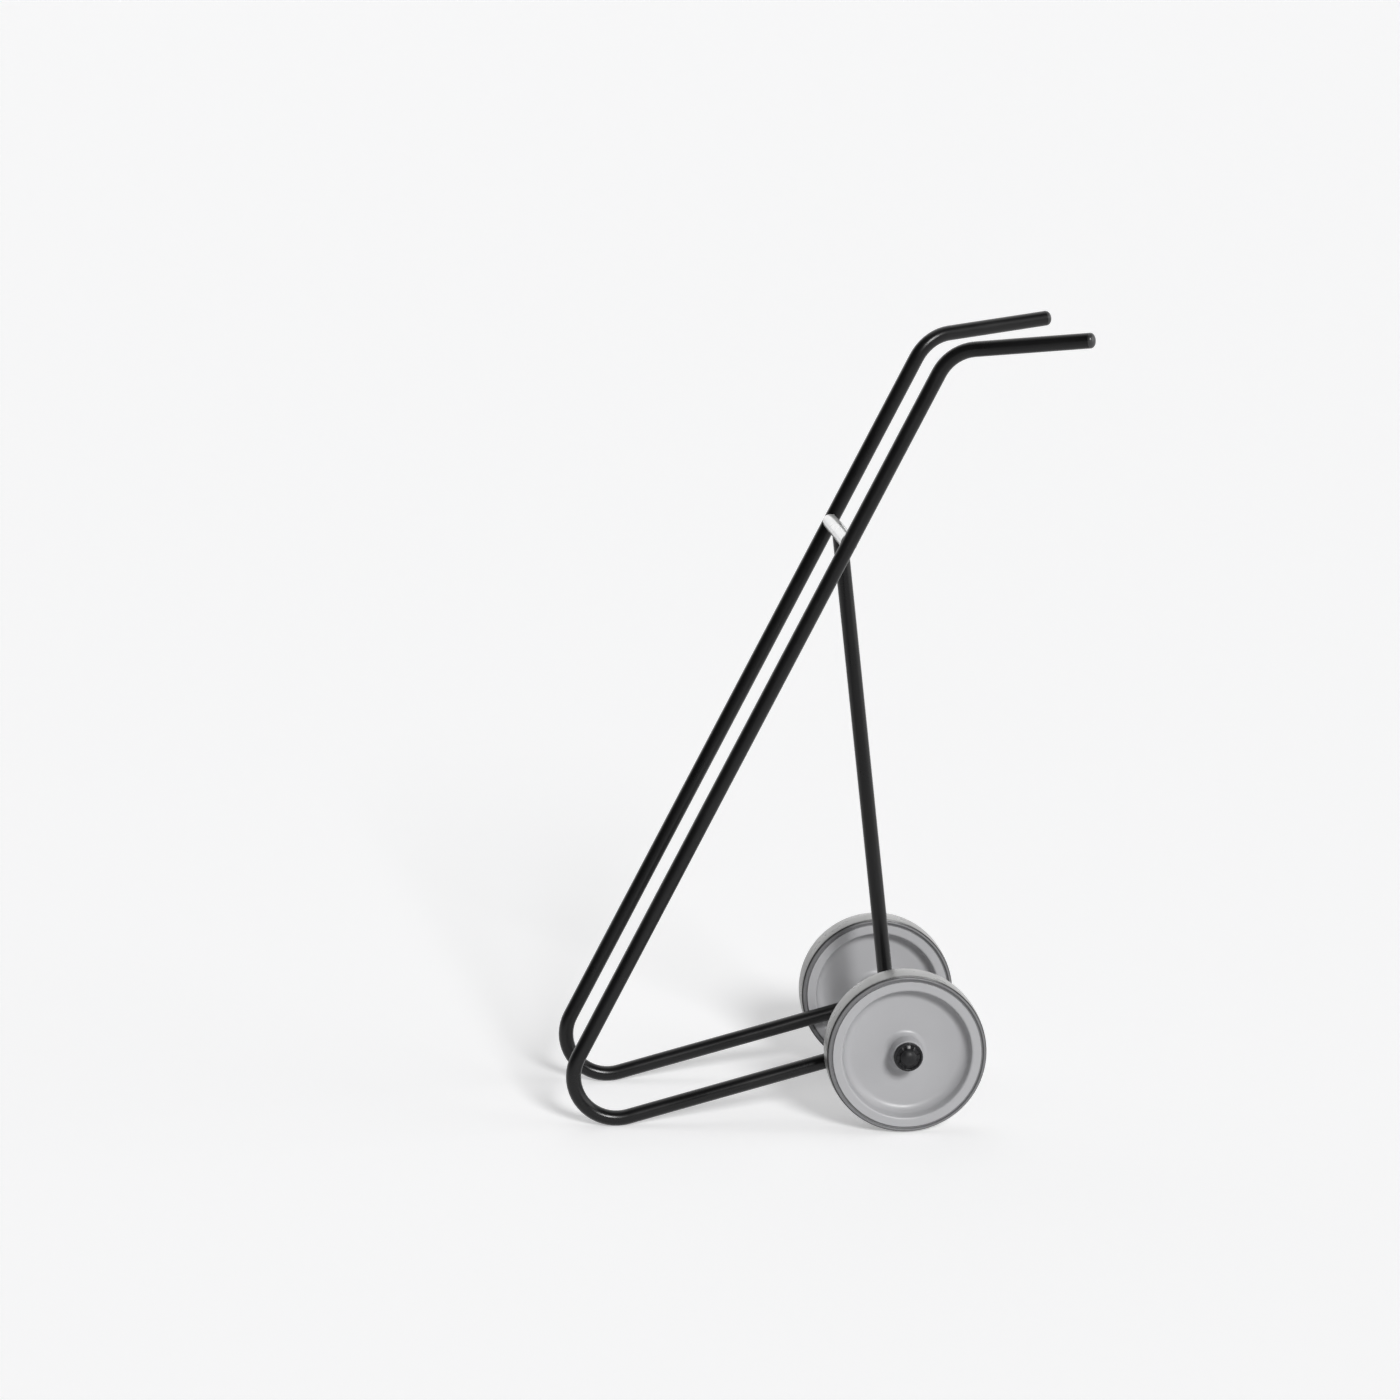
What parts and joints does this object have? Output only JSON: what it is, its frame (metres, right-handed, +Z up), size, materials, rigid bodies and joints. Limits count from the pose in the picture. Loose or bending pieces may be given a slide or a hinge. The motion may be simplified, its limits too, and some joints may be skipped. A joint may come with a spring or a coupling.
{
  "type": "stool trolley",
  "caption": "Two-wheeled hand trolley of bent black tube with splayed handles, hairpin feet, a braced frame and grey rubber-tyred wheels, for moving a stack of stools.",
  "frame": {"origin": "on the floor, below the middle of the outline, midway between the foot bends and the handle tips", "axes": "+Z up, +X from the feet towards the person who pushes, +Y to that person's right"},
  "size_m": [0.6431, 0.3766, 0.9837],
  "materials": {
    "frame_paint": "satin black powder coat",
    "sleeve_plastic": "smooth white plastic",
    "plug_plastic": "moulded black plastic",
    "cap_steel": "black finished steel",
    "axle_steel": "bright zinc-plated steel",
    "rim_plastic": "light grey moulded plastic",
    "tyre_rubber": "grey non-marking rubber",
    "bush_plastic": "natural nylon"
  },
  "bodies": {
    "frame": {"cross_bar": "frame_paint", "buffer_sleeve": "sleeve_plastic", "centre_strut": "frame_paint", "axle_tube": "frame_paint", "axle_rod": "axle_steel", "right_side_tube": "frame_paint", "right_handle_plug": "plug_plastic", "right_inner_washer": "axle_steel", "right_outer_washer": "cap_steel", "right_axle_cap": "cap_steel", "left_side_tube": "frame_paint", "left_handle_plug": "plug_plastic", "left_inner_washer": "axle_steel", "left_outer_washer": "cap_steel", "left_axle_cap": "cap_steel"},
    "right_wheel": {"right_rim": "rim_plastic", "right_tyre": "tyre_rubber", "right_wheel_bush": "bush_plastic"},
    "left_wheel": {"left_rim": "rim_plastic", "left_tyre": "tyre_rubber", "left_wheel_bush": "bush_plastic"}
  },
  "joints": [
    {"name": "right_wheel_spin", "type": "hinge", "parent": "frame", "child": "right_wheel", "pos_m": [0.09595, 0.1465, 0.1], "axis": [0, 1, 0], "continuous": true},
    {"name": "left_wheel_spin", "type": "hinge", "parent": "frame", "child": "left_wheel", "pos_m": [0.09595, -0.1465, 0.1], "axis": [0, 1, 0], "continuous": true}
  ]
}
